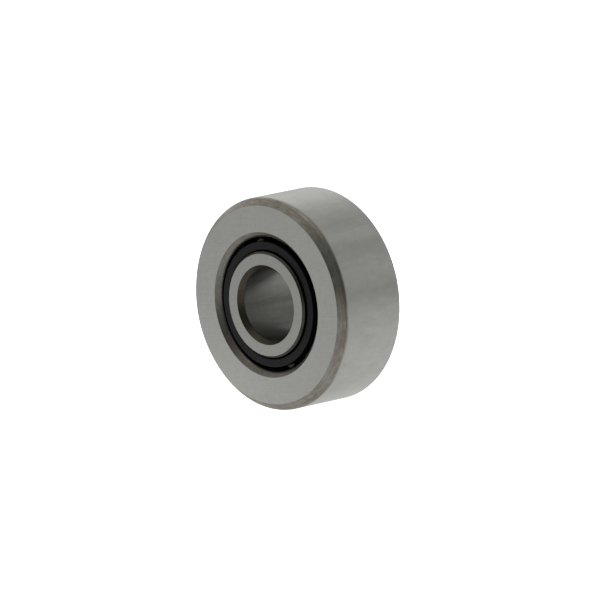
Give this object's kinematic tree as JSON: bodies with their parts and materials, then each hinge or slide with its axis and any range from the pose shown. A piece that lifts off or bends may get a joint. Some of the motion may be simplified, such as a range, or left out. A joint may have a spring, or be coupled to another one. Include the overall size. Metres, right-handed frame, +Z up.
{
  "type": "cam follower",
  "caption": "Yoke-type track roller: a thick steel outer ring turns on caged needle rollers around a separate inner ring with a pin bore.",
  "frame": {"origin": "centre of the bore, midway between the inner ring's two side faces", "axes": "+Y along the bearing's axis, +Z up and +X across, both radial"},
  "size_m": [0.024, 0.01, 0.024],
  "materials": {
    "outer_ring_steel": "hardened bearing steel, ground on the rim and the side faces, turned on the chamfers",
    "inner_ring_steel": "hardened bearing steel, ground all over",
    "needle_steel": "hardened bearing steel, lapped bright",
    "cage_plastic": "black moulded polyamide"
  },
  "bodies": {
    "inner_race": {"inner_ring": "inner_ring_steel"},
    "outer_race": {"outer_ring": "outer_ring_steel"},
    "cage": {"cage": "cage_plastic"},
    "needle_roller_01": {"needle_roller_01": "needle_steel"},
    "needle_roller_02": {"needle_roller_02": "needle_steel"},
    "needle_roller_03": {"needle_roller_03": "needle_steel"},
    "needle_roller_04": {"needle_roller_04": "needle_steel"},
    "needle_roller_05": {"needle_roller_05": "needle_steel"},
    "needle_roller_06": {"needle_roller_06": "needle_steel"},
    "needle_roller_07": {"needle_roller_07": "needle_steel"},
    "needle_roller_08": {"needle_roller_08": "needle_steel"},
    "needle_roller_09": {"needle_roller_09": "needle_steel"},
    "needle_roller_10": {"needle_roller_10": "needle_steel"},
    "needle_roller_11": {"needle_roller_11": "needle_steel"},
    "needle_roller_12": {"needle_roller_12": "needle_steel"},
    "needle_roller_13": {"needle_roller_13": "needle_steel"},
    "needle_roller_14": {"needle_roller_14": "needle_steel"}
  },
  "joints": [
    {"name": "outer_spin", "type": "hinge", "parent": "inner_race", "child": "outer_race", "pos_m": [0, 0, 0], "axis": [0, 1, 0], "continuous": true},
    {"name": "cage_spin", "type": "hinge", "parent": "inner_race", "child": "cage", "pos_m": [0, 0, 0], "axis": [0, 1, 0], "continuous": true},
    {"name": "needle_roller_01_spin", "type": "hinge", "parent": "cage", "child": "needle_roller_01", "pos_m": [0.00071, 0, 0.00671], "axis": [0, 1, 0], "continuous": true},
    {"name": "needle_roller_02_spin", "type": "hinge", "parent": "cage", "child": "needle_roller_02", "pos_m": [0.00355, 0, 0.00574], "axis": [0, 1, 0], "continuous": true},
    {"name": "needle_roller_03_spin", "type": "hinge", "parent": "cage", "child": "needle_roller_03", "pos_m": [0.00569, 0, 0.00363], "axis": [0, 1, 0], "continuous": true},
    {"name": "needle_roller_04_spin", "type": "hinge", "parent": "cage", "child": "needle_roller_04", "pos_m": [0.0067, 0, 0.00081], "axis": [0, 1, 0], "continuous": true},
    {"name": "needle_roller_05_spin", "type": "hinge", "parent": "cage", "child": "needle_roller_05", "pos_m": [0.00639, 0, -0.00218], "axis": [0, 1, 0], "continuous": true},
    {"name": "needle_roller_06_spin", "type": "hinge", "parent": "cage", "child": "needle_roller_06", "pos_m": [0.00481, 0, -0.00474], "axis": [0, 1, 0], "continuous": true},
    {"name": "needle_roller_07_spin", "type": "hinge", "parent": "cage", "child": "needle_roller_07", "pos_m": [0.00228, 0, -0.00635], "axis": [0, 1, 0], "continuous": true},
    {"name": "needle_roller_08_spin", "type": "hinge", "parent": "cage", "child": "needle_roller_08", "pos_m": [-0.00071, 0, -0.00671], "axis": [0, 1, 0], "continuous": true},
    {"name": "needle_roller_09_spin", "type": "hinge", "parent": "cage", "child": "needle_roller_09", "pos_m": [-0.00355, 0, -0.00574], "axis": [0, 1, 0], "continuous": true},
    {"name": "needle_roller_10_spin", "type": "hinge", "parent": "cage", "child": "needle_roller_10", "pos_m": [-0.00569, 0, -0.00363], "axis": [0, 1, 0], "continuous": true},
    {"name": "needle_roller_11_spin", "type": "hinge", "parent": "cage", "child": "needle_roller_11", "pos_m": [-0.0067, 0, -0.00081], "axis": [0, 1, 0], "continuous": true},
    {"name": "needle_roller_12_spin", "type": "hinge", "parent": "cage", "child": "needle_roller_12", "pos_m": [-0.00639, 0, 0.00218], "axis": [0, 1, 0], "continuous": true},
    {"name": "needle_roller_13_spin", "type": "hinge", "parent": "cage", "child": "needle_roller_13", "pos_m": [-0.00481, 0, 0.00474], "axis": [0, 1, 0], "continuous": true},
    {"name": "needle_roller_14_spin", "type": "hinge", "parent": "cage", "child": "needle_roller_14", "pos_m": [-0.00228, 0, 0.00635], "axis": [0, 1, 0], "continuous": true}
  ],
  "couplings": [
    {"joint": "cage_spin", "follows": "outer_spin", "ratio": 0.55556},
    {"joint": "needle_roller_01_spin", "follows": "outer_spin", "ratio": 4.4444},
    {"joint": "needle_roller_02_spin", "follows": "outer_spin", "ratio": 4.4444},
    {"joint": "needle_roller_03_spin", "follows": "outer_spin", "ratio": 4.4444},
    {"joint": "needle_roller_04_spin", "follows": "outer_spin", "ratio": 4.4444},
    {"joint": "needle_roller_05_spin", "follows": "outer_spin", "ratio": 4.4444},
    {"joint": "needle_roller_06_spin", "follows": "outer_spin", "ratio": 4.4444},
    {"joint": "needle_roller_07_spin", "follows": "outer_spin", "ratio": 4.4444},
    {"joint": "needle_roller_08_spin", "follows": "outer_spin", "ratio": 4.4444},
    {"joint": "needle_roller_09_spin", "follows": "outer_spin", "ratio": 4.4444},
    {"joint": "needle_roller_10_spin", "follows": "outer_spin", "ratio": 4.4444},
    {"joint": "needle_roller_11_spin", "follows": "outer_spin", "ratio": 4.4444},
    {"joint": "needle_roller_12_spin", "follows": "outer_spin", "ratio": 4.4444},
    {"joint": "needle_roller_13_spin", "follows": "outer_spin", "ratio": 4.4444},
    {"joint": "needle_roller_14_spin", "follows": "outer_spin", "ratio": 4.4444}
  ]
}
